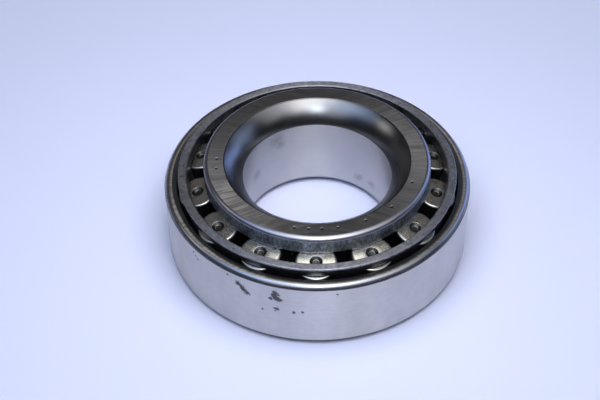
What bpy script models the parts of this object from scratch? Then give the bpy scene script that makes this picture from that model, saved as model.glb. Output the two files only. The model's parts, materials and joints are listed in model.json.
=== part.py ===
"""Single-row tapered roller bearing: cup, cone, pressed cage and fourteen rollers.

Lengths are in metres. +Z is the bearing's axis, and z = 0 is the cup's back face, the wide face that
the bearing stands on. Every raceway and every roller axis points at one apex below the bearing.
"""

from math import atan2, cos, hypot, pi, radians, sin, tan

import bpy
from mathutils import Vector

# Envelope
OUTER_R = 0.036
BORE_R = 0.0175
ASSEMBLED_WIDTH = 0.02425
CONE_WIDTH = 0.023
CUP_WIDTH = 0.019

# Rolling geometry
CUP_RACE_ANGLE = radians(14.036)
ROLLER_HALF_ANGLE = radians(2.0)
CUP_RACE_R_AT_BACK = 0.0285435
ROLLER_COUNT = 14
FIRST_ROLLER_AZIMUTH = radians(268.5)
ROLLER_TOP_FROM_APEX = 0.1364
ROLLER_LENGTH = 0.016
RACE_CLEARANCE = 0.00006
RIB_CLEARANCE = 0.00015

TILT = CUP_RACE_ANGLE - ROLLER_HALF_ANGLE
CONE_RACE_ANGLE = CUP_RACE_ANGLE - 2 * ROLLER_HALF_ANGLE
APEX_Z = -CUP_RACE_R_AT_BACK / tan(CUP_RACE_ANGLE)
ROLLER_BOTTOM_FROM_APEX = ROLLER_TOP_FROM_APEX - ROLLER_LENGTH

# Cup edges. A turned edge has a width and a height.
CUP_TOP_EDGE = (0.001, 0.0011)
CUP_BOTTOM_EDGE = (0.001, 0.0015)
CUP_RACE_EDGE = 0.0005
CUP_MOUTH_R = 0.0342
CUP_MOUTH_DEPTH = 0.0006

# Cone
RIB_R = 0.0266
RIB_EDGE = (0.00105, 0.0009)
RIB_FOOT_EDGE = 0.0003
UNDERCUT_DEPTH = 0.0005
UNDERCUT_WIDTH = 0.0011
SMALL_RIB_R = 0.0217
SMALL_RIB_GAP = 0.0005
SMALL_RIB_EDGE = 0.0004
BORE_FRONT_EDGE = 0.0008
BACK_FILLET = (0.0044, 0.005)

# Turned edges meet the ground cylinders beside them at these angles
FILLET_LEAN = radians(25)
EDGE_LEAN = radians(20)

# Rollers
ROLLER_EDGE = 0.0005
DIMPLE_R = 0.00145
DIMPLE_FLOOR_R = 0.00075
DIMPLE_DEPTH = 0.00055

# Cage, one sheet turned in under the rollers' small ends
CAGE_TOP_Z = 0.02106
CAGE_TOP_R = 0.0329
CAGE_WALL = 0.0021
CAGE_FLANGE = 0.0016
CAGE_FLANGE_R = 0.0224
CAGE_FLANGE_GAP = 0.0009
CAGE_RIM_EDGE = 0.0004
CAGE_BEND_OUTSIDE = 0.0022
CAGE_BEND_INSIDE = 0.0006
POCKET_SIDE_GAP = 0.00025
POCKET_END_GAP = 0.0003

# Facets
RING_SEGMENTS = 84
ROLLER_SEGMENTS = 20
FILLET_STEPS = 6
BEND_STEPS = 3
SMALL_EDGE = 0.0007
EDGE_STEPS = 3
SHARP_ANGLE = radians(32)


def clear_scene():
    for old in list(bpy.data.objects):
        bpy.data.objects.remove(old, do_unlink=True)


def new_collection(name):
    collection = bpy.data.collections.new(name)
    bpy.context.scene.collection.children.link(collection)
    return collection


def steel(name, colour, roughness, metallic):
    material = bpy.data.materials.new(name)
    material.use_nodes = True
    shader = material.node_tree.nodes["Principled BSDF"]
    shader.inputs["Base Color"].default_value = (*colour, 1.0)
    shader.inputs["Roughness"].default_value = roughness
    shader.inputs["Metallic"].default_value = metallic
    return material


def rounded(corners):
    """Profile points (r, z) of an outline whose corners are (r, z, edge radius)."""
    points = []
    for index, (r, z, radius) in enumerate(corners):
        corner = Vector((r, z))
        if radius == 0:
            points.append((r, z))
            continue
        before = (Vector(corners[index - 1][:2]) - corner).normalized()
        after = (Vector(corners[(index + 1) % len(corners)][:2]) - corner).normalized()
        half_angle = before.angle(after) / 2
        centre = corner + (before + after).normalized() * radius / sin(half_angle)
        start = corner + before * radius / tan(half_angle) - centre
        end = corner + after * radius / tan(half_angle) - centre
        steps = BEND_STEPS if radius > SMALL_EDGE else 1
        for step in range(steps + 1):
            spoke = start.normalized().slerp(end.normalized(), step / steps) * radius
            points.append(tuple(centre + spoke))
    return points


def turned_edge(foot, size, way, lean, steps):
    """Corners of an arc from a foot on a cylinder to a face. It leaves the cylinder at an angle.

    The size is the arc's width and height, and the way is their signs towards the face.
    """
    half_sweep = atan2(*size) - lean
    radius = hypot(*size) / (2 * sin(half_sweep))
    turns = [lean + 2 * half_sweep * step / steps for step in range(steps + 1)]
    return [(foot[0] + way[0] * radius * (cos(lean) - cos(turn)),
             foot[1] + way[1] * radius * (sin(turn) - sin(lean)), 0) for turn in turns]


def on_tilted_line(r, from_apex):
    """Height at radius r of the line square to a roller's axis, at a distance from the apex."""
    return APEX_Z + (from_apex - r * sin(TILT)) / cos(TILT)


def cone_race_r(z):
    return (z - APEX_Z) * tan(CONE_RACE_ANGLE)


def cup_race_r(z):
    return (z - APEX_Z) * tan(CUP_RACE_ANGLE)


def cage_wall_r(z):
    """Outer radius of the cage's wall, which runs parallel to the cup's raceway."""
    return CAGE_TOP_R - (CAGE_TOP_Z - z) * tan(CUP_RACE_ANGLE)


def cage_bend(inset, from_apex):
    """Corner (r, z) where the wall's surface meets a flange surface square to the roller axes."""
    z = 0.0
    for _ in range(20):
        r = cage_wall_r(z) - inset
        z = on_tilted_line(r, from_apex)
    return r, z


def cup_profile():
    mouth_foot_z = CUP_WIDTH - CUP_MOUTH_DEPTH
    top_foot, bottom_foot = (OUTER_R, CUP_WIDTH - CUP_TOP_EDGE[1]), (OUTER_R, CUP_BOTTOM_EDGE[1])
    top_edge = turned_edge(top_foot, CUP_TOP_EDGE, (-1, 1), EDGE_LEAN, EDGE_STEPS)
    bottom_edge = turned_edge(bottom_foot, CUP_BOTTOM_EDGE, (-1, -1), EDGE_LEAN, EDGE_STEPS)
    return rounded(top_edge[::-1] + bottom_edge + [
        (cup_race_r(0.0), 0.0, CUP_RACE_EDGE),
        (cup_race_r(mouth_foot_z), mouth_foot_z, 0),
        (CUP_MOUTH_R, CUP_WIDTH, 0),
    ])


def cone_outside():
    """Corners down the cone's outer side: large rib, undercut, raceway and small rib."""
    rib_face = ROLLER_TOP_FROM_APEX + RIB_CLEARANCE
    small_face = ROLLER_BOTTOM_FROM_APEX - SMALL_RIB_GAP
    top_z = on_tilted_line(cone_race_r(CUP_WIDTH), rib_face)
    race_top_z = top_z - UNDERCUT_WIDTH
    top_groove_r = cone_race_r(race_top_z) - UNDERCUT_DEPTH
    top_lip_r = cone_race_r(top_z) + UNDERCUT_DEPTH / 2
    race_bottom_z = on_tilted_line(cone_race_r(0.0), small_face) + UNDERCUT_WIDTH / 2
    bottom_groove_r = cone_race_r(race_bottom_z) - UNDERCUT_DEPTH
    front_z = ASSEMBLED_WIDTH - CONE_WIDTH
    rib_foot = (RIB_R, ASSEMBLED_WIDTH - RIB_EDGE[1])
    rib_edge = turned_edge(rib_foot, RIB_EDGE, (-1, 1), EDGE_LEAN, EDGE_STEPS)
    return rib_edge[::-1] + [
        (RIB_R, on_tilted_line(RIB_R, rib_face), RIB_FOOT_EDGE),
        (top_lip_r, on_tilted_line(top_lip_r, rib_face), 0),
        (top_groove_r, on_tilted_line(top_groove_r, rib_face), 0),
        (top_groove_r, race_top_z - UNDERCUT_DEPTH, 0),
        (cone_race_r(race_top_z - UNDERCUT_DEPTH), race_top_z - 2 * UNDERCUT_DEPTH, 0),
        (cone_race_r(race_bottom_z), race_bottom_z, 0),
        (bottom_groove_r, race_bottom_z - UNDERCUT_DEPTH / 2, 0),
        (bottom_groove_r, on_tilted_line(bottom_groove_r, small_face), 0),
        (SMALL_RIB_R, on_tilted_line(SMALL_RIB_R, small_face), SMALL_RIB_EDGE / 2),
        (SMALL_RIB_R, front_z, SMALL_RIB_EDGE),
        (BORE_R, front_z, BORE_FRONT_EDGE),
    ]


def back_fillet():
    """The large rounded entry from the bore to the cone's back face."""
    foot = (BORE_R, ASSEMBLED_WIDTH - BACK_FILLET[1])
    return turned_edge(foot, BACK_FILLET, (1, 1), FILLET_LEAN, FILLET_STEPS)


def cage_profile():
    flange_top = ROLLER_BOTTOM_FROM_APEX - CAGE_FLANGE_GAP
    flange_bottom = flange_top - CAGE_FLANGE
    return rounded([
        (CAGE_TOP_R, CAGE_TOP_Z, CAGE_RIM_EDGE),
        (*cage_bend(0.0, flange_bottom), CAGE_BEND_OUTSIDE),
        (CAGE_FLANGE_R, on_tilted_line(CAGE_FLANGE_R, flange_bottom), CAGE_RIM_EDGE),
        (CAGE_FLANGE_R, on_tilted_line(CAGE_FLANGE_R, flange_top), CAGE_RIM_EDGE),
        (*cage_bend(CAGE_WALL, flange_top), CAGE_BEND_INSIDE),
        (CAGE_TOP_R - CAGE_WALL, CAGE_TOP_Z, CAGE_RIM_EDGE),
    ])


def roller_r(from_apex):
    return from_apex * tan(ROLLER_HALF_ANGLE) - RACE_CLEARANCE


def roller_profile():
    """Open outline, apex distances measured from the roller's middle, from axis to axis."""
    half = ROLLER_LENGTH / 2
    top_r = roller_r(ROLLER_TOP_FROM_APEX)
    bottom_r = roller_r(ROLLER_BOTTOM_FROM_APEX)
    return rounded([
        (0.0, half - DIMPLE_DEPTH, 0),
        (DIMPLE_FLOOR_R, half - DIMPLE_DEPTH, 0),
        (DIMPLE_R, half, 0),
        (top_r, half, ROLLER_EDGE),
        (bottom_r, -half, ROLLER_EDGE),
        (0.0, -half, 0),
    ])


def pocket_profile():
    """Open outline of a roller grown by the pocket's gaps."""
    half = ROLLER_LENGTH / 2 + POCKET_END_GAP
    middle = (ROLLER_TOP_FROM_APEX + ROLLER_BOTTOM_FROM_APEX) / 2
    return [
        (0.0, half),
        (roller_r(middle + half) + POCKET_SIDE_GAP, half),
        (roller_r(middle - half) + POCKET_SIDE_GAP, -half),
        (0.0, -half),
    ]


def profile_mesh(name, points, closed):
    edges = [(index, index + 1) for index in range(len(points) - 1)]
    if closed:
        edges.append((len(points) - 1, 0))
    mesh = bpy.data.meshes.new(name)
    mesh.from_pydata([(r, 0.0, z) for r, z in points], edges, [])
    return mesh


def turned(name, points, segments, collection, closed=True):
    """A solid of revolution about the object's own Z axis."""
    piece = bpy.data.objects.new(name, profile_mesh(name, points, closed))
    collection.objects.link(piece)
    screw = piece.modifiers.new("turn", "SCREW")
    screw.steps = segments
    screw.render_steps = segments
    screw.use_merge_vertices = True
    screw.merge_threshold = 0.00001
    return piece


def settle(piece, material=None):
    """Turn the modifiers into mesh and shade the round surfaces smooth."""
    evaluated = piece.evaluated_get(bpy.context.evaluated_depsgraph_get())
    mesh = bpy.data.meshes.new_from_object(evaluated)
    mesh.name = piece.name
    piece.modifiers.clear()
    piece.data = mesh
    mesh.shade_smooth()
    mesh.set_sharp_from_angle(angle=SHARP_ANGLE)
    if material:
        mesh.materials.clear()
        mesh.materials.append(material)
    return piece


def place_on_roller_axis(piece, azimuth):
    middle = ROLLER_BOTTOM_FROM_APEX + ROLLER_LENGTH / 2
    radius = middle * sin(TILT)
    height = APEX_Z + middle * cos(TILT)
    piece.location = (radius * cos(azimuth), radius * sin(azimuth), height)
    piece.rotation_euler = (0.0, TILT, azimuth)


def make_cup(collection):
    cup = turned("cup", cup_profile(), RING_SEGMENTS, collection)
    return settle(cup, steel("cup_steel", (0.40, 0.39, 0.45), 0.38, 0.9))


def make_cone(collection):
    profile = rounded(cone_outside() + back_fillet())
    cone = turned("cone", profile, RING_SEGMENTS, collection)
    return settle(cone, steel("cone_steel", (0.34, 0.33, 0.34), 0.30, 1.0))


def make_cage(collection, cutters, azimuths):
    cage = turned("cage", cage_profile(), RING_SEGMENTS, collection)
    pocket = settle(turned("pocket_01", pocket_profile(), ROLLER_SEGMENTS, cutters, closed=False))
    for number, azimuth in enumerate(azimuths, start=1):
        if number > 1:
            pocket = bpy.data.objects.new(f"pocket_{number:02d}", pocket.data)
            cutters.objects.link(pocket)
        place_on_roller_axis(pocket, azimuth)
        pocket.parent = cage
        pocket.hide_render = True
        pocket.display_type = "WIRE"
    cut = cage.modifiers.new("pockets", "BOOLEAN")
    cut.operation = "DIFFERENCE"
    cut.solver = "EXACT"
    cut.operand_type = "COLLECTION"
    cut.collection = cutters
    return settle(cage, steel("cage_steel", (0.16, 0.16, 0.18), 0.50, 0.8))


def make_rollers(collection, cage, azimuths):
    material = steel("roller_steel", (0.52, 0.51, 0.47), 0.25, 1.0)
    roller = settle(turned("roller_01", roller_profile(), ROLLER_SEGMENTS, collection, closed=False),
                    material)
    for number, azimuth in enumerate(azimuths, start=1):
        if number > 1:
            roller = bpy.data.objects.new(f"roller_{number:02d}", roller.data)
            collection.objects.link(roller)
        place_on_roller_axis(roller, azimuth)
        roller.parent = cage


def main():
    clear_scene()
    bearing = new_collection("tapered_roller_bearing")
    cutters = new_collection("cutters")
    azimuths = [FIRST_ROLLER_AZIMUTH + number * 2 * pi / ROLLER_COUNT for number in range(ROLLER_COUNT)]
    make_cup(bearing)
    make_cone(bearing)
    cage = make_cage(bearing, cutters, azimuths)
    make_rollers(bearing, cage, azimuths)


main()
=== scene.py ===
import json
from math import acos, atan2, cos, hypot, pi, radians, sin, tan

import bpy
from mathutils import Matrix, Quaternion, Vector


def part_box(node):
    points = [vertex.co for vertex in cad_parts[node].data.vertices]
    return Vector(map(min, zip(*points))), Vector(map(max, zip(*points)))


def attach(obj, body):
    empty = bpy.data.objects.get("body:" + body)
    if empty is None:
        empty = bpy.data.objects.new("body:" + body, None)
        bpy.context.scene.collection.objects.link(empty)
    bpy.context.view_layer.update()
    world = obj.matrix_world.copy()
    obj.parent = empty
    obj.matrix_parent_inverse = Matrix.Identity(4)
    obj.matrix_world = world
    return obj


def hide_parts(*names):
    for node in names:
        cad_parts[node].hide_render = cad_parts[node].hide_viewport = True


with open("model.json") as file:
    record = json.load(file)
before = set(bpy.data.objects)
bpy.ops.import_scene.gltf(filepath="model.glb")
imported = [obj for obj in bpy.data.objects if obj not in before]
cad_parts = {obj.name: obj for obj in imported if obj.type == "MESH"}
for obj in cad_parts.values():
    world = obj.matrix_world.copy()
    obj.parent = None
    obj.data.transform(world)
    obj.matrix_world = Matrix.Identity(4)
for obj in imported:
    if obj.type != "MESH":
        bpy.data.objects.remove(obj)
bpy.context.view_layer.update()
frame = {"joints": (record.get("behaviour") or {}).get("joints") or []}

# Looks of a single-row tapered roller bearing. Each CAD node is stood for by one finely turned piece with
# the same dimensions, and every surface gets the finish it has on the real part: ground, honed, turned,
# polished or pressed. A few colours also carry painted shade, a painted reflection or a painted highlight,
# as said where they are set. Shapes and lights are in metres. The patterns of the finishes, and the lists
# of marks below, are in millimetres.

# Sizes that the imported model gives
CUP_LOW, CUP_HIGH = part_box("cup")
CONE_LOW, CONE_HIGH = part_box("cone")
CAGE_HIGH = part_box("cage")[1]
ROLLER_JOINTS = [joint for joint in frame["joints"] if joint["child"].startswith("roller_")]
TILT = acos(ROLLER_JOINTS[0]["axis"][2])
MIDDLE = Vector(ROLLER_JOINTS[0]["pos_m"])
APEX_Z = MIDDLE.z - hypot(MIDDLE.x, MIDDLE.y) / tan(TILT)
MIDDLE_FROM_APEX = hypot(MIDDLE.x, MIDDLE.y) / sin(TILT)

# Sizes of the design that a bounding box doesn't give
MM = 0.001
ROLLER_HALF_ANGLE = radians(2.0)
ROLLER_LENGTH = 16 * MM
CUP_RACE_ANGLE = TILT + ROLLER_HALF_ANGLE
CONE_RACE_ANGLE = TILT - ROLLER_HALF_ANGLE
END_SPHERE_R = 90 * MM
ROLLER_TOP = MIDDLE_FROM_APEX + ROLLER_LENGTH / 2
ROLLER_BOTTOM = MIDDLE_FROM_APEX - ROLLER_LENGTH / 2
RACE_GAP = 0.06 * MM
RIB_GAP = 0.15 * MM
BORE_R = 17.5 * MM
BACK_FILLET = (4.4 * MM, 5.0 * MM)
FILLET_LEAN = radians(25)
EDGE_LEAN = radians(20)
CUP_TOP_EDGE = (1.0 * MM, 1.1 * MM)
CUP_BOTTOM_EDGE = (1.0 * MM, 1.5 * MM)
CUP_MOUTH_R = 34.2 * MM
CUP_MOUTH_DEPTH = 0.6 * MM
CUP_RACE_EDGE = 0.4 * MM
RIB_EDGE = (1.05 * MM, 0.9 * MM)
RIB_FOOT_EDGE = 0.3 * MM
UNDERCUT_DEPTH = 0.5 * MM
UNDERCUT_WIDTH = 1.1 * MM
UNDERCUT_EDGE = 0.15 * MM
SMALL_RIB_R = 21.7 * MM
SMALL_RIB_GAP = 0.5 * MM
SMALL_RIB_EDGE = 0.4 * MM
BORE_FRONT_EDGE = 0.8 * MM
ROLLER_EDGE = 0.5 * MM
DIMPLE_R = 1.45 * MM
DIMPLE_FLOOR_R = 0.75 * MM
DIMPLE_DEPTH = 0.55 * MM
CAGE_WALL = 2.1 * MM
CAGE_FLANGE = 1.6 * MM
CAGE_FLANGE_R = 22.4 * MM
CAGE_FLANGE_GAP = 0.9 * MM
CAGE_FLANGE_EDGE = 0.4 * MM
CAGE_RIM_EDGE = 0.35 * MM
CAGE_BEND_OUTSIDE = 2.2 * MM
CAGE_BEND_INSIDE = 0.6 * MM
POCKET_GAP = 0.25 * MM
POCKET_END_GAP = 0.3 * MM

# Fineness of the turned meshes
RING_SEGMENTS = 288
ROLLER_SEGMENTS = 72
ARC_STEP = radians(12)
SHARP_ANGLE = radians(35)


# ---------------------------------------------------------------- turned shapes

def rounded_outline(corners, closed=True):
    """Corners (r, z, edge radius, finish of the span that follows) as points and the spans' finishes."""
    points, finishes = [], []
    for index, (r, z, radius, finish) in enumerate(corners):
        corner = Vector((r, z))
        if radius == 0:
            points.append(corner)
            finishes.append(finish)
            continue
        before = (Vector(corners[index - 1][:2]) - corner).normalized()
        after = (Vector(corners[(index + 1) % len(corners)][:2]) - corner).normalized()
        half_angle = before.angle(after) / 2
        centre = corner + (before + after).normalized() * radius / sin(half_angle)
        start = corner + before * radius / tan(half_angle) - centre
        end = corner + after * radius / tan(half_angle) - centre
        steps = max(2, round((pi - 2 * half_angle) / ARC_STEP))
        for step in range(steps + 1):
            points.append(centre + start.normalized().slerp(end.normalized(), step / steps) * radius)
            finishes.append("edge" if step < steps else finish)
    return with_support(points, finishes, closed)


def with_support(points, finishes, closed):
    """Adds a ring near both ends of each long span, so that its smooth shading stays flat."""
    margin, long_span = 0.12 * MM, 0.8 * MM
    new_points, new_finishes = [], []
    for index, (point, finish) in enumerate(zip(points, finishes)):
        new_points.append(point)
        new_finishes.append(finish)
        if index + 1 == len(points) and not closed:
            continue
        span = points[(index + 1) % len(points)] - point
        if span.length > long_span:
            for along in (margin, span.length - margin):
                new_points.append(point + span.normalized() * along)
                new_finishes.append(finish)
    return new_points, new_finishes


def lathe(name, outline, segments, palette, seed=0.0, closed=True):
    """A solid of revolution about its own Z axis, with a material slot for each finish."""
    points, finishes = outline
    slots = sorted(set(finishes if closed else finishes[:-1]))
    vertices, rings, faces, face_slots = [], [], [], []
    for r, z in points:
        if r < 1e-9:
            rings.append([len(vertices)] * segments)
            vertices.append((0.0, 0.0, z))
            continue
        rings.append(list(range(len(vertices), len(vertices) + segments)))
        turns = [2 * pi * step / segments for step in range(segments)]
        vertices += [(r * cos(turn), r * sin(turn), z) for turn in turns]
    for index in range(len(points) if closed else len(points) - 1):
        upper, lower = rings[index], rings[(index + 1) % len(points)]
        for step in range(segments):
            following = (step + 1) % segments
            corners = (upper[step], lower[step], lower[following], upper[following])
            faces.append(tuple(dict.fromkeys(corners)))
            face_slots.append(slots.index(finishes[index]))
    mesh = bpy.data.meshes.new(name)
    mesh.from_pydata(vertices, [], faces)
    mesh.polygons.foreach_set("material_index", face_slots)
    for slot in slots:
        mesh.materials.append(palette[slot])
    local = mesh.attributes.new("local_mm", "FLOAT_VECTOR", "POINT")
    local.data.foreach_set("vector", [value / MM for vertex in vertices for value in vertex])
    grain = mesh.attributes.new("grain_seed", "FLOAT", "POINT")
    grain.data.foreach_set("value", [seed] * len(vertices))
    shade(mesh)
    piece = bpy.data.objects.new(name, mesh)
    bpy.context.scene.collection.objects.link(piece)
    return piece


def shade(mesh):
    mesh.shade_smooth()
    mesh.set_sharp_from_angle(angle=SHARP_ANGLE)


def stand_for(piece, node):
    """Rides a piece on the body of its node, which has the node's name, and replaces the node."""
    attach(piece, node)
    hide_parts(node)


# ---------------------------------------------------------------- profiles

def square_to_roller(r, from_apex):
    """Height at radius r of the line square to a roller's axis, at a distance from the apex."""
    return APEX_Z + (from_apex - r * sin(TILT)) / cos(TILT)


def race_r(z, angle):
    return (z - APEX_Z) * tan(angle)


def turned_edge(foot, size, way, lean, steps):
    """Points of an arc from a foot on a cylinder to a face. It leaves the cylinder at an angle.

    The size is the arc's width and height, and the way is their signs towards the face.
    """
    half_sweep = atan2(*size) - lean
    radius = hypot(*size) / (2 * sin(half_sweep))
    turns = [lean + 2 * half_sweep * step / steps for step in range(steps + 1)]
    return [(foot[0] + way[0] * radius * (cos(lean) - cos(turn)),
             foot[1] + way[1] * radius * (sin(turn) - sin(lean))) for turn in turns]


def spans(points, finish, finish_after):
    """Corners without rounding, all followed by one finish but for the last."""
    return [(*point, 0, finish) for point in points[:-1]] + [(*points[-1], 0, finish_after)]


def cup_outline():
    outer_r, top = CUP_HIGH.x, CUP_HIGH.z
    mouth_foot = top - CUP_MOUTH_DEPTH
    top_edge = turned_edge((outer_r, top - CUP_TOP_EDGE[1]), CUP_TOP_EDGE, (-1, 1), EDGE_LEAN, 8)
    foot_edge = turned_edge((outer_r, CUP_BOTTOM_EDGE[1]), CUP_BOTTOM_EDGE, (-1, -1), EDGE_LEAN, 6)
    # The spans called skin, the lowest two steps of the top edge and the whole bottom edge, are painted dark:
    # a painted dark reflection under the top edge's highlight, and painted shade where the cup stands on the
    # floor.
    return rounded_outline(spans(top_edge[:1:-1], "edge", "skin") + spans(top_edge[1::-1], "skin", "outside")
                           + spans(foot_edge, "skin", "face") + [
        (race_r(0.0, CUP_RACE_ANGLE), 0.0, CUP_RACE_EDGE, "raceway"),
        (race_r(mouth_foot, CUP_RACE_ANGLE), mouth_foot, 0, "mouth"),
        (CUP_MOUTH_R, top, 0, "face"),
    ])


def cone_outline():
    rib_r, top, front = CONE_HIGH.x, CONE_HIGH.z, CONE_LOW.z
    rib_line = ROLLER_TOP + RIB_GAP
    small_line = ROLLER_BOTTOM - SMALL_RIB_GAP
    race_top = square_to_roller(race_r(CUP_HIGH.z, CONE_RACE_ANGLE), rib_line) - UNDERCUT_WIDTH
    race_foot = square_to_roller(race_r(0.0, CONE_RACE_ANGLE), small_line) + UNDERCUT_WIDTH / 2
    top_groove_r = race_r(race_top, CONE_RACE_ANGLE) - UNDERCUT_DEPTH
    foot_groove_r = race_r(race_foot, CONE_RACE_ANGLE) - UNDERCUT_DEPTH
    lip_r = race_r(race_top + UNDERCUT_WIDTH, CONE_RACE_ANGLE) + UNDERCUT_DEPTH / 2
    race_start = race_top - 2 * UNDERCUT_DEPTH
    rib_edge = turned_edge((rib_r, top - RIB_EDGE[1]), RIB_EDGE, (-1, 1), EDGE_LEAN, 6)
    fillet = turned_edge((BORE_R, top - BACK_FILLET[1]), BACK_FILLET, (1, 1), FILLET_LEAN, 16)
    return rounded_outline(spans(rib_edge[::-1], "edge", "rib") + [
        (rib_r, square_to_roller(rib_r, rib_line), RIB_FOOT_EDGE, "raceway"),
        (lip_r, square_to_roller(lip_r, rib_line), 0, "groove"),
        (top_groove_r, square_to_roller(top_groove_r, rib_line), UNDERCUT_EDGE, "groove"),
        (top_groove_r, race_top - UNDERCUT_DEPTH, UNDERCUT_EDGE, "groove"),
        (race_r(race_start, CONE_RACE_ANGLE), race_start, 0, "raceway"),
        (race_r(race_foot, CONE_RACE_ANGLE), race_foot, 0, "groove"),
        (foot_groove_r, race_foot - UNDERCUT_DEPTH / 2, 0, "groove"),
        (foot_groove_r, square_to_roller(foot_groove_r, small_line), 0.1 * MM, "raceway"),
        (SMALL_RIB_R, square_to_roller(SMALL_RIB_R, small_line), SMALL_RIB_EDGE / 2, "rib"),
        (SMALL_RIB_R, front, SMALL_RIB_EDGE, "face"),
        (BORE_R, front, BORE_FRONT_EDGE, "bore"),
    ] + spans(fillet, "fillet", "face"))


def cage_wall_r(z):
    return CAGE_HIGH.x - (CAGE_HIGH.z - z) * tan(CUP_RACE_ANGLE)


def cage_bend(inset, from_apex):
    """Where the wall's surface meets a flange surface that is square to the rollers' axes."""
    z = 0.0
    for _ in range(20):
        r = cage_wall_r(z) - inset
        z = square_to_roller(r, from_apex)
    return r, z


def cage_outline():
    flange_top = ROLLER_BOTTOM - CAGE_FLANGE_GAP
    flange_foot = flange_top - CAGE_FLANGE
    return rounded_outline([
        (CAGE_HIGH.x, CAGE_HIGH.z, CAGE_RIM_EDGE, "sheet"),
        (*cage_bend(0.0, flange_foot), CAGE_BEND_OUTSIDE, "sheet"),
        (CAGE_FLANGE_R, square_to_roller(CAGE_FLANGE_R, flange_foot), CAGE_FLANGE_EDGE, "sheet"),
        (CAGE_FLANGE_R, square_to_roller(CAGE_FLANGE_R, flange_top), CAGE_FLANGE_EDGE, "sheet"),
        (*cage_bend(CAGE_WALL, flange_top), CAGE_BEND_INSIDE, "sheet"),
        (CAGE_HIGH.x - CAGE_WALL, CAGE_HIGH.z, CAGE_RIM_EDGE, "rim"),
    ])


def roller_r(from_apex):
    return from_apex * tan(ROLLER_HALF_ANGLE) - RACE_GAP


def roller_outline():
    half = ROLLER_LENGTH / 2
    top_r, foot_r = roller_r(ROLLER_TOP), roller_r(ROLLER_BOTTOM)
    dome = [DIMPLE_R + (top_r - DIMPLE_R) * step / 4 for step in range(1, 4)]
    return rounded_outline([
        (0.0, half - DIMPLE_DEPTH, 0, "dimple"),
        (DIMPLE_FLOOR_R, half - DIMPLE_DEPTH + 0.04 * MM, 0.1 * MM, "dimple_wall"),
        (DIMPLE_R, half - end_drop(DIMPLE_R), 0.1 * MM, "end"),
    ] + [(r, half - end_drop(r), 0, "end") for r in dome] + [
        (top_r, half - end_drop(top_r), ROLLER_EDGE, "body"),
        (foot_r, -half, ROLLER_EDGE, "end"),
        (0.0, -half, 0, "end"),
    ], closed=False)


def end_drop(r):
    """How far the roller's spherically ground large end has fallen away at radius r."""
    return r * r / (2 * END_SPHERE_R)


def pocket_outline():
    """The space that a pocket leaves round its roller, which cuts the cage's wall."""
    half = ROLLER_LENGTH / 2 + POCKET_END_GAP
    return [Vector(point) for point in (
        (0.0, half),
        (roller_r(MIDDLE_FROM_APEX + half) + POCKET_GAP, half),
        (roller_r(MIDDLE_FROM_APEX - half) + POCKET_GAP, -half),
        (0.0, -half),
    )], ["sheet"] * 4


# ---------------------------------------------------------------- finishes

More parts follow.
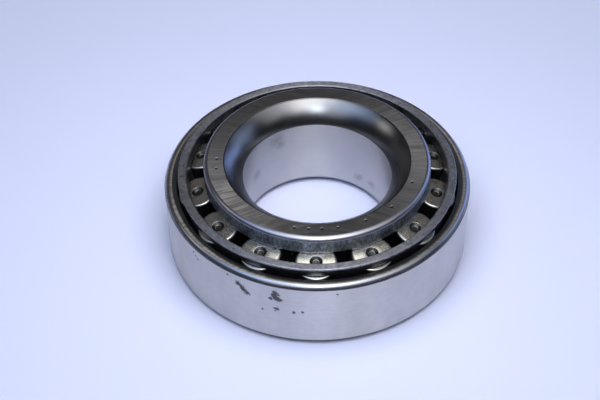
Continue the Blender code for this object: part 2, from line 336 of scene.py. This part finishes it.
class Finish:
    """A metal material whose patterns read the piece's own millimetres, stored on its mesh."""

    def __init__(self, name, colour, roughness, anisotropic=0.0):
        self.material = bpy.data.materials.new(name)
        self.material.use_nodes = True
        self.tree = self.material.node_tree
        self.shader = self.tree.nodes["Principled BSDF"]
        self.colour = (*colour, 1.0)
        self.roughness = roughness
        self.shader.inputs["Metallic"].default_value = 1.0
        self.shader.inputs["Anisotropic"].default_value = anisotropic
        self.local = self.attribute("local_mm", "Vector")
        self.seed = self.attribute("grain_seed", "Fac")
        self.tones, self.roughs, self.heights = [], [], []

    def node(self, kind, inputs=(), **settings):
        node = self.tree.nodes.new(kind)
        for key, value in settings.items():
            setattr(node, key, value)
        for index, value in inputs:
            if isinstance(value, bpy.types.NodeSocket):
                self.tree.links.new(value, node.inputs[index])
            else:
                node.inputs[index].default_value = value
        return node

    def attribute(self, name, output):
        return self.node("ShaderNodeAttribute", attribute_name=name).outputs[output]

    def math(self, operation, *values, clamp=False):
        return self.node("ShaderNodeMath", enumerate(values), operation=operation, use_clamp=clamp).outputs[0]

    def vector(self, operation, *values):
        return self.node("ShaderNodeVectorMath", enumerate(values), operation=operation)

    def separate(self, vector):
        return self.node("ShaderNodeSeparateXYZ", [(0, vector)]).outputs

    def combine(self, x, y, z):
        return self.node("ShaderNodeCombineXYZ", enumerate((x, y, z))).outputs[0]

    def range(self, value, low, high, to_low=0.0, to_high=1.0, smooth=True):
        kind = "SMOOTHSTEP" if smooth else "LINEAR"
        inputs = enumerate((value, low, high, to_low, to_high))
        return self.node("ShaderNodeMapRange", inputs, interpolation_type=kind).outputs[0]

    def noise(self, vector, scale, detail=3.0, roughness=0.55):
        node = self.node("ShaderNodeTexNoise", [(0, vector)])
        node.inputs["Scale"].default_value = scale
        node.inputs["Detail"].default_value = detail
        node.inputs["Roughness"].default_value = roughness
        return node.outputs["Fac"]

    def shifted(self, amount):
        """The piece's own coordinates moved by its seed, so that like pieces differ."""
        step = self.math("MULTIPLY", self.seed, amount)
        return self.vector("ADD", self.local, self.combine(step, step, step)).outputs[0]

    def round_axis(self):
        """The unit spoke from the axis, the radius and the height."""
        x, y, z = self.separate(self.local)
        flat = self.combine(x, y, 0.0)
        radius = self.vector("LENGTH", flat).outputs["Value"]
        spoke = self.vector("NORMALIZE", flat).outputs[0]
        return spoke, radius, z

    def lines_around(self, per_mm, run):
        """Fine lines round the axis: quick across them, slow along them over run millimetres."""
        spoke, radius, z = self.round_axis()
        across = self.math("ADD", self.math("MULTIPLY", radius, 0.83), z)
        x, y, _ = self.separate(self.vector("SCALE", spoke, (0, 0, 0), (0, 0, 0), 20.0 / run).outputs[0])
        return self.noise(self.combine(x, y, self.math("MULTIPLY", across, per_mm)), 1.0, 4.0, 0.7)

    def strokes_across(self):
        """Wheel strokes on a face: between spokes and parallel lines, as level lines of y / r ** 0.6."""
        _, radius, _ = self.round_axis()
        x, y, _ = self.separate(self.local)
        across = self.math("DIVIDE", y, self.math("POWER", radius, 0.6))
        along = self.math("MULTIPLY", self.math("ADD", x, self.math("MULTIPLY", y, 0.4)), 0.10)
        return self.noise(self.combine(self.math("MULTIPLY", across, 22.0), along, 0.0), 1.0, 4.0, 0.7)

    def tone(self, pattern, darkest, brightest):
        self.tones.append(self.range(pattern, 0.25, 0.75, darkest, brightest, smooth=False))

    def rough(self, pattern, change):
        self.roughs.append(self.range(pattern, 0.25, 0.75, -change, change, smooth=False))

    def height(self, pattern, depth_mm):
        self.heights.append(self.math("MULTIPLY", pattern, depth_mm * MM))

    def tint(self, mask, colour):
        self.colour = self.mix(mask, self.colour, colour)

    def mix(self, factor, first, second):
        node = self.node("ShaderNodeMix", data_type="RGBA")
        for socket, value in ((node.inputs[0], factor), (node.inputs[6], first), (node.inputs[7], second)):
            if isinstance(value, bpy.types.NodeSocket):
                self.tree.links.new(value, socket)
            else:
                socket.default_value = value if isinstance(value, float) else (*value[:3], 1.0)
        return node.outputs[2]

    def done(self):
        """Joins the patterns to the shader."""
        colour = self.colour
        for tone in self.tones:
            grey = self.combine(tone, tone, tone)
            node = self.node("ShaderNodeMix", data_type="RGBA", blend_type="MULTIPLY")
            node.inputs[0].default_value = 1.0
            if isinstance(colour, bpy.types.NodeSocket):
                self.tree.links.new(colour, node.inputs[6])
            else:
                node.inputs[6].default_value = colour
            self.tree.links.new(grey, node.inputs[7])
            colour = node.outputs[2]
        if isinstance(colour, bpy.types.NodeSocket):
            self.tree.links.new(colour, self.shader.inputs["Base Color"])
        else:
            self.shader.inputs["Base Color"].default_value = colour
        roughness = self.roughness
        for change in self.roughs:
            roughness = self.math("ADD", roughness, change, clamp=True)
        if isinstance(roughness, bpy.types.NodeSocket):
            self.tree.links.new(roughness, self.shader.inputs["Roughness"])
        else:
            self.shader.inputs["Roughness"].default_value = roughness
        if self.heights:
            height = self.heights[0]
            for more in self.heights[1:]:
                height = self.math("ADD", height, more)
            bump = self.node("ShaderNodeBump")
            bump.inputs["Strength"].default_value = 1.0
            bump.inputs["Distance"].default_value = 1.0
            self.tree.links.new(height, bump.inputs["Height"])
            self.tree.links.new(bump.outputs[0], self.shader.inputs["Normal"])
        if self.shader.inputs["Anisotropic"].default_value:
            tangent = self.node("ShaderNodeTangent", direction_type="RADIAL", axis="Z")
            self.tree.links.new(tangent.outputs[0], self.shader.inputs["Tangent"])
        return self.material


def ground(name, colour, roughness, anisotropic=0.6, per_mm=5.0, run=14.0, line_tone=0.05, depth=0.0004):
    """A surface ground or honed round the axis: fine lines round it and faint cloudiness."""
    finish = Finish(name, colour, roughness, anisotropic)
    finish.shader.inputs["Anisotropic Rotation"].default_value = 0.25
    lines = finish.lines_around(per_mm, run)
    clouds = finish.noise(finish.shifted(31.0), 0.16, 4.0, 0.6)
    finish.tone(lines, 1 - line_tone, 1 + line_tone)
    finish.tone(clouds, 0.94, 1.05)
    finish.rough(lines, 0.05)
    finish.rough(clouds, 0.04)
    finish.height(lines, depth)
    return finish


# The azimuth about which the ring faces get a painted highlight: a brighter tone and stronger grinding
# strokes
PAINTED_SHEEN_AT = radians(226)

# Marks of use are (azimuth in degrees, height or radius in mm, size in mm)
STAINS_ON_CUP = (
    (240.2, 15.7, 0.7), (241.2, 15.1, 0.65), (241.7, 14.6, 0.7), (242.4, 14.1, 0.6), (243.6, 13.5, 0.6),
    (254.1, 16.0, 0.6), (253.6, 15.1, 0.6), (254.5, 14.6, 0.85), (255.7, 14.0, 0.65), (252.6, 14.0, 0.45),
    (253.1, 15.5, 0.3), (255.3, 15.5, 0.35), (254.5, 10.9, 0.65), (260.7, 10.5, 0.36), (263.8, 10.8, 0.34),
    (249.4, 9.8, 0.25),
    (218.6, 16.5, 0.3), (219.7, 15.9, 0.25), (220.9, 15.2, 0.3), (235.8, 17.0, 0.3), (276.0, 16.6, 0.22),
)
SMUDGES_IN_BORE = (
    (123.2, 16.9, 1.6), (120.0, 15.2, 1.1), (147.0, 10.0, 1.2), (52.9, 4.8, 0.9), (50.0, 5.4, 0.6),
    (37.3, 5.2, 0.9), (40.5, 5.0, 0.6),
)
PUNCHED_DOTS = (
    (180.0, 23.4, 0.34), (188.0, 23.6, 0.34), (256.6, 23.5, 0.34), (264.5, 23.4, 0.34), (271.5, 23.3, 0.34),
    (280.2, 23.4, 0.34), (296.3, 23.3, 0.34), (314.2, 23.4, 0.34), (337.7, 23.2, 0.34),
)


def on_cylinder(azimuth, height, radius):
    return (radius * cos(radians(azimuth)), radius * sin(radians(azimuth)), height)


def spots(finish, places, ragged_share, edge_share):
    """A mask of round or ragged spots at (place in mm, size in mm)."""
    ragged = finish.math("SUBTRACT", finish.noise(finish.local, 1.6, 4.0, 0.75), 0.5)
    mask = 0.0
    for place, size in places:
        distance = finish.vector("DISTANCE", finish.local, place).outputs["Value"]
        uneven = finish.math("ADD", distance, finish.math("MULTIPLY", ragged, ragged_share * size))
        blot = finish.range(uneven, (1 - edge_share) * size, (1 + edge_share) * size, 1.0, 0.0)
        mask = finish.math("MAXIMUM", mask, blot)
    return mask


def cup_outside():
    """The ground outside of the cup: bands, satin cloudiness and dark ragged stains."""
    finish = ground("cup_outside", (0.60, 0.59, 0.58), 0.40, 0.85)
    radius = CUP_HIGH.x / MM
    bands = finish.noise(finish.vector("MULTIPLY", finish.local, (0.09, 0.09, 0.02)).outputs[0], 1.0, 3.0)
    finish.tone(bands, 0.88, 1.12)
    satin = finish.noise(finish.vector("MULTIPLY", finish.local, (0.5, 0.5, 1.6)).outputs[0], 1.0, 5.0, 0.7)
    finish.tone(satin, 0.92, 1.07)
    finish.rough(satin, 0.05)
    places = [(on_cylinder(azimuth, height, radius), size) for azimuth, height, size in STAINS_ON_CUP]
    stains = spots(finish, places, 3.6, 0.35)
    finish.tint(finish.math("MULTIPLY", stains, 0.88), (0.07, 0.07, 0.09))
    finish.rough(finish.range(stains, 0.0, 1.0, 0.5, 0.75), 0.3)
    return finish.done()


def cone_bore():
    """The ground bore, with a few oily smudges."""
    finish = ground("cone_bore", (0.60, 0.59, 0.60), 0.42, 0.9, line_tone=0.04)
    radius = BORE_R / MM
    places = [(on_cylinder(azimuth, height, radius), size) for azimuth, height, size in SMUDGES_IN_BORE]
    smudges = spots(finish, places, 2.2, 0.9)
    finish.tint(finish.math("MULTIPLY", smudges, 0.5), (0.26, 0.25, 0.24))
    return finish.done()


def ground_face(name, colour, roughness, dots=()):
    """A ring face with the strokes that a grinding wheel draws across it, a painted highlight over one
    sector, where it is brighter and its strokes stronger, and any punched dots.
    """
    finish = Finish(name, colour, roughness, 0.55)
    finish.shader.inputs["Anisotropic Rotation"].default_value = 0.46
    strokes = finish.strokes_across()
    clouds = finish.noise(finish.shifted(17.0), 0.22, 4.0, 0.6)
    spoke = finish.round_axis()[0]
    painted_sheen_way = (cos(PAINTED_SHEEN_AT), sin(PAINTED_SHEEN_AT), 0.0)
    towards = finish.vector("DOT_PRODUCT", spoke, painted_sheen_way).outputs["Value"]
    uneven = finish.math("ADD", towards, finish.math("MULTIPLY", finish.math("SUBTRACT", clouds, 0.5), 0.5))
    # Painted highlight: over one sector the face is made brighter and its strokes stronger.
    painted_sheen = finish.range(uneven, 0.76, 0.98)
    contrast = finish.range(painted_sheen, 0.0, 1.0, 0.24, 0.5)
    swing = finish.math("MULTIPLY", contrast, finish.range(strokes, 0.3, 0.7, -1.0, 1.0))
    finish.tones.append(finish.math("ADD", finish.range(painted_sheen, 0.0, 1.0, 1.0, 1.18), swing))
    finish.tone(clouds, 0.88, 1.12)
    finish.tint(finish.math("MULTIPLY", finish.range(clouds, 0.5, 0.75), 0.5), tuple(
        share * value for share, value in zip((0.88, 0.87, 0.74), colour)))
    finish.rough(strokes, 0.08)
    finish.height(strokes, 0.0022)
    if dots:
        places = [((r * cos(radians(azimuth)), r * sin(radians(azimuth)), CONE_HIGH.z / MM), size)
                  for azimuth, r, size in dots]
        pits = spots(finish, places, 0.8, 0.35)
        finish.tint(finish.math("MULTIPLY", pits, 0.85), (0.04, 0.04, 0.05))
        finish.height(finish.math("MULTIPLY", pits, -1.0), 0.12)
    return finish.done()


def polished(name, colour, roughness):
    """A smooth turned surface with barely any lines."""
    finish = Finish(name, colour, roughness)
    lines = finish.lines_around(2.5, 40.0)
    clouds = finish.noise(finish.shifted(11.0), 0.25, 3.0, 0.5)
    finish.tone(clouds, 0.95, 1.04)
    finish.rough(clouds, 0.03)
    finish.height(lines, 0.0003)
    return finish.done()


def dark_skin(name, colour, roughness):
    """A smooth rounded entry that keeps the dark skin of its heat treatment."""
    finish = Finish(name, colour, roughness)
    lines = finish.lines_around(2.0, 40.0)
    clouds = finish.noise(finish.shifted(11.0), 0.2, 3.0, 0.5)
    finish.tone(clouds, 0.9, 1.1)
    finish.rough(clouds, 0.02)
    finish.height(lines, 0.0002)
    return finish.done()


def mottled(name, colour, roughness):
    """The rib's outside: turned, hardened and left with the olive mottling of heat and oil."""
    finish = ground(name, colour, roughness, 0.85, per_mm=3.0, run=6.0, line_tone=0.1, depth=0.0008)
    blotches = finish.noise(finish.vector("MULTIPLY", finish.shifted(5.0), (1.8, 1.8, 0.9)).outputs[0],
                            1.0, 5.0, 0.7)
    finish.tint(finish.range(blotches, 0.32, 0.62), (0.12, 0.12, 0.095))
    finish.rough(blotches, 0.08)
    return finish.done()


def pressed_sheet(name, colour, roughness, anisotropic):
    """Dull oiled sheet steel with a sandy surface and small dark pits."""
    finish = Finish(name, colour, roughness, anisotropic)
    finish.shader.inputs["Anisotropic Rotation"].default_value = 0.25
    sand = finish.noise(finish.local, 1.1, 5.0, 0.8)
    clouds = finish.noise(finish.local, 0.3, 4.0, 0.6)
    cells = finish.node("ShaderNodeTexVoronoi", [(0, finish.local)], feature="F1")
    cells.inputs["Scale"].default_value = 0.55
    pits = finish.range(cells.outputs["Distance"], 0.07, 0.15, 1.0, 0.0)
    finish.tint(finish.math("MULTIPLY", pits, 0.8), (0.03, 0.03, 0.035))
    finish.tone(sand, 0.45, 1.55)
    finish.tone(clouds, 0.82, 1.15)
    finish.rough(sand, 0.12)
    finish.height(sand, 0.012)
    finish.height(finish.math("MULTIPLY", pits, -1.0), 0.03)
    return finish.done()


def roller_end():
    """A roller's ground end: cream-grey with short crossing scratches, darker towards its rim."""
    finish = Finish("roller_end", (0.74, 0.72, 0.665), 0.26)
    scratches = finish.noise(finish.vector("MULTIPLY", finish.shifted(7.0), (5.0, 0.7, 1.0)).outputs[0],
                             1.0, 4.0, 0.7)
    clouds = finish.noise(finish.shifted(23.0), 0.5, 4.0, 0.65)
    finish.tint(finish.range(clouds, 0.52, 0.68), (0.46, 0.43, 0.33))
    finish.tone(scratches, 0.84, 1.10)
    finish.tone(finish.noise(finish.shifted(3.0), 1.2, 4.0, 0.7), 0.9, 1.07)
    finish.rough(scratches, 0.06)
    finish.height(scratches, 0.0008)
    return finish.done()


def dark_dimple(name, colour, roughness):
    """The drilled centre of a roller's end, with turning marks, coloured dark."""
    finish = Finish(name, colour, roughness)
    turning = finish.lines_around(6.0, 2.0)
    finish.tone(turning, 0.7, 1.2)
    finish.height(turning, 0.003)
    return finish.done()


# ---------------------------------------------------------------- pieces

def make_cup():
    palette = {
        "outside": cup_outside(),
        "face": ground_face("cup_face", (0.40, 0.38, 0.36), 0.37),
        "edge": polished("cup_edge", (0.34, 0.35, 0.40), 0.29),
        # Painted shade: the dark colour of the skin spans at the cup's edges.
        "skin": polished("cup_painted_shade", (0.13, 0.13, 0.14), 0.4),
        "mouth": polished("cup_mouth", (0.16, 0.16, 0.17), 0.5),
        "raceway": ground("cup_raceway", (0.55, 0.55, 0.56), 0.2, 0.3).done(),
    }
    stand_for(lathe("cup_fine", cup_outline(), RING_SEGMENTS, palette), "cup")


def make_cone():
    palette = {
        "face": ground_face("cone_face", (0.37, 0.36, 0.37), 0.36, PUNCHED_DOTS),
        "edge": polished("cone_edge", (0.36, 0.36, 0.41), 0.30),
        "fillet": dark_skin("cone_fillet", (0.20, 0.20, 0.21), 0.25),
        "bore": cone_bore(),
        # The blue in the rib's colour is a painted reflection of the blue daylight; its olive mottling is its
        # own.
        "rib": mottled("cone_rib_painted_blue_sheen", (0.30, 0.36, 0.49), 0.46),
        "raceway": ground("cone_raceway", (0.55, 0.55, 0.56), 0.2, 0.3).done(),
        "groove": polished("cone_groove", (0.30, 0.30, 0.29), 0.45),
    }
    stand_for(lathe("cone_fine", cone_outline(), RING_SEGMENTS, palette), "cone")


def on_roller_axis(piece, joint):
    piece.location = joint["pos_m"]
    axis = Vector(joint["axis"])
    piece.rotation_euler = (0.0, TILT, atan2(axis.y, axis.x))
    return piece


def make_cage():
    palette = {
        # The walls and flange are a darker copy of the rim's sheet steel: painted shade.
        "sheet": pressed_sheet("cage_sheet_painted_shade", (0.15, 0.15, 0.17), 0.38, 0.0),
        "edge": pressed_sheet("cage_edge", (0.30, 0.30, 0.34), 0.45, 0.3),
        "rim": pressed_sheet("cage_rim", (0.34, 0.34, 0.38), 0.56, 0.45),
    }
    cage = lathe("cage_fine", cage_outline(), RING_SEGMENTS, palette)
    for joint in ROLLER_JOINTS:
        cutter = on_roller_axis(lathe("cutter", pocket_outline(), ROLLER_SEGMENTS, palette, closed=False),
                                joint)
        cut = cage.modifiers.new("pocket", "BOOLEAN")
        cut.object = cutter
        cut.solver = "EXACT"
        settle(cage)
        bpy.data.objects.remove(cutter, do_unlink=True)
    stand_for(cage, "cage")


def settle(piece):
    """Turns a piece's modifiers into mesh."""
    bpy.context.view_layer.update()
    evaluated = piece.evaluated_get(bpy.context.evaluated_depsgraph_get())
    mesh = bpy.data.meshes.new_from_object(evaluated)
    piece.modifiers.clear()
    piece.data = mesh
    local = mesh.attributes["local_mm"]
    local.data.foreach_set("vector", [value / MM for vertex in mesh.vertices for value in vertex.co])
    shade(mesh)


def make_rollers():
    palette = {
        "end": roller_end(),
        "edge": polished("roller_edge", (0.42, 0.42, 0.40), 0.32),
        "body": ground("roller_body", (0.58, 0.58, 0.60), 0.18, 0.3, per_mm=4.0, run=3.0).done(),
        "dimple": dark_dimple("roller_dimple", (0.11, 0.11, 0.10), 0.34),
        "dimple_wall": dark_dimple("roller_dimple_wall", (0.05, 0.05, 0.05), 0.38),
    }
    outline = roller_outline()
    for number, joint in enumerate(ROLLER_JOINTS):
        piece = lathe(joint["child"] + "_fine", outline, ROLLER_SEGMENTS, palette, seed=float(number),
                      closed=False)
        stand_for(on_roller_axis(piece, joint), joint["child"])


# ---------------------------------------------------------------- studio

CAMERA_AIM = Vector((-4.1, 10.84, 0.0)) * MM
CAMERA_ELEVATION = radians(44.1)
CAMERA_DISTANCE = 304.7 * MM
CAMERA_ROLL = -0.0132
CAMERA_LENS = 72.1


def make_camera():
    data = bpy.data.cameras.new("camera")
    data.lens = CAMERA_LENS
    data.sensor_width = 36.0
    data.clip_start, data.clip_end = 0.01, 20.0
    camera = bpy.data.objects.new("camera", data)
    bpy.context.scene.collection.objects.link(camera)
    back = Vector((0.0, -cos(CAMERA_ELEVATION), sin(CAMERA_ELEVATION)))
    camera.location = CAMERA_AIM + back * CAMERA_DISTANCE
    camera.rotation_mode = "QUATERNION"
    camera.rotation_quaternion = (-back).to_track_quat("-Z", "Y") @ Quaternion((0, 0, 1), CAMERA_ROLL)
    bpy.context.scene.camera = camera


def make_floor():
    mesh = bpy.data.meshes.new("floor")
    half = 3.0
    mesh.from_pydata([(-half, -half, 0), (half, -half, 0), (half, half, 0), (-half, half, 0)], [],
                     [(0, 1, 2, 3)])
    floor = bpy.data.objects.new("floor", mesh)
    floor.location.z = CUP_LOW.z
    bpy.context.scene.collection.objects.link(floor)
    material = bpy.data.materials.new("pale_paper")
    material.use_nodes = True
    shader = material.node_tree.nodes["Principled BSDF"]
    shader.inputs["Base Color"].default_value = (0.46, 0.485, 0.645, 1.0)
    shader.inputs["Roughness"].default_value = 0.9
    shader.inputs["Specular IOR Level"].default_value = 0.1
    mesh.materials.append(material)


def softbox(name, towards, distance, size, radiance, colour, soft=0.0, seen_in_metal=True):
    """Rectangular lamps that face the bearing from a direction. Layers that shrink soften the edge."""
    direction = Vector(towards).normalized()
    layers = 4 if soft else 1
    for layer in range(layers):
        width, height = (side * (1 - soft * layer / layers) for side in size)
        data = bpy.data.lights.new(name, "AREA")
        data.shape = "RECTANGLE"
        data.size, data.size_y = width, height
        data.energy = radiance / layers * pi * width * height
        data.color = colour
        lamp = bpy.data.objects.new(name, data)
        lamp.location = direction * (distance + 0.01 * layer)
        lamp.rotation_mode = "QUATERNION"
        lamp.rotation_quaternion = direction.to_track_quat("Z", "Y")
        lamp.visible_glossy = seen_in_metal
        bpy.context.scene.collection.objects.link(lamp)


def make_lights():
    softbox("overhead", (0.09, -0.36, 1.0), 1.2, (0.72, 1.35), 3.1, (1.0, 0.98, 0.95), soft=0.65)
    softbox("daylight", (-0.02, -0.66, 0.78), 1.1, (0.22, 0.32), 8.0, (0.70, 0.84, 1.0), soft=0.5)
    softbox("overhead_back", (0.03, 0.33, 1.0), 1.25, (0.46, 0.50), 1.9, (1.0, 0.98, 0.92), soft=0.3)
    softbox("ceiling", (0.16, -0.45, 1.0), 1.3, (2.6, 1.3), 1.7, (0.95, 0.97, 1.0), soft=0.85)
    softbox("left_sky", (-0.50, -0.34, 1.0), 1.3, (1.2, 1.2), 1.5, (0.45, 0.64, 1.0), soft=0.75)
    softbox("window", (0.72, 0.66, 0.15), 1.5, (1.0, 0.75), 1.9, (0.36, 0.50, 1.0), soft=0.7)
    softbox("side_window", (0.85, 0.27, 0.42), 1.5, (0.95, 0.95), 1.1, (0.52, 0.68, 1.0), soft=0.75)
    softbox("lamp", (-0.83, 0.12, 0.62), 1.5, (0.50, 0.50), 2.0, (1.0, 0.96, 0.88), soft=0.8)
    softbox("left_wall", (-0.72, 0.68, 0.16), 1.8, (1.6, 0.9), 0.12, (1.0, 1.0, 0.92), soft=0.5)
    softbox("back_wall", (0.0, 0.80, 0.65), 2.0, (4.0, 1.6), 0.06, (1.0, 0.95, 0.88), soft=0.5)
    softbox("paper_light", (0.0, -0.2, 1.0), 0.15, (0.09, 0.09), 7.5, (0.97, 0.98, 1.0),
            seen_in_metal=False)
    softbox("far_paper_light", (0.0, 0.75, 0.66), 0.24, (0.25, 0.10), 0.7, (1.0, 0.98, 0.96),
            seen_in_metal=False)


def make_world():
    """A dark room for the metal to reflect. The camera itself sees a pale backdrop."""
    world = bpy.data.worlds.new("room")
    world.use_nodes = True
    bpy.context.scene.world = world
    tree = world.node_tree
    room = tree.nodes["Background"]
    room.inputs["Color"].default_value = (0.022, 0.022, 0.026, 1.0)
    backdrop = tree.nodes.new("ShaderNodeBackground")
    backdrop.inputs["Color"].default_value = (0.66, 0.69, 0.93, 1.0)
    choose = tree.nodes.new("ShaderNodeMixShader")
    path = tree.nodes.new("ShaderNodeLightPath")
    tree.links.new(path.outputs["Is Camera Ray"], choose.inputs[0])
    tree.links.new(room.outputs[0], choose.inputs[1])
    tree.links.new(backdrop.outputs[0], choose.inputs[2])
    tree.links.new(choose.outputs[0], tree.nodes["World Output"].inputs[0])


make_camera()
make_floor()
make_lights()
make_world()
make_cup()
make_cone()
make_cage()
make_rollers()
bpy.context.scene.view_settings.view_transform = "Standard"
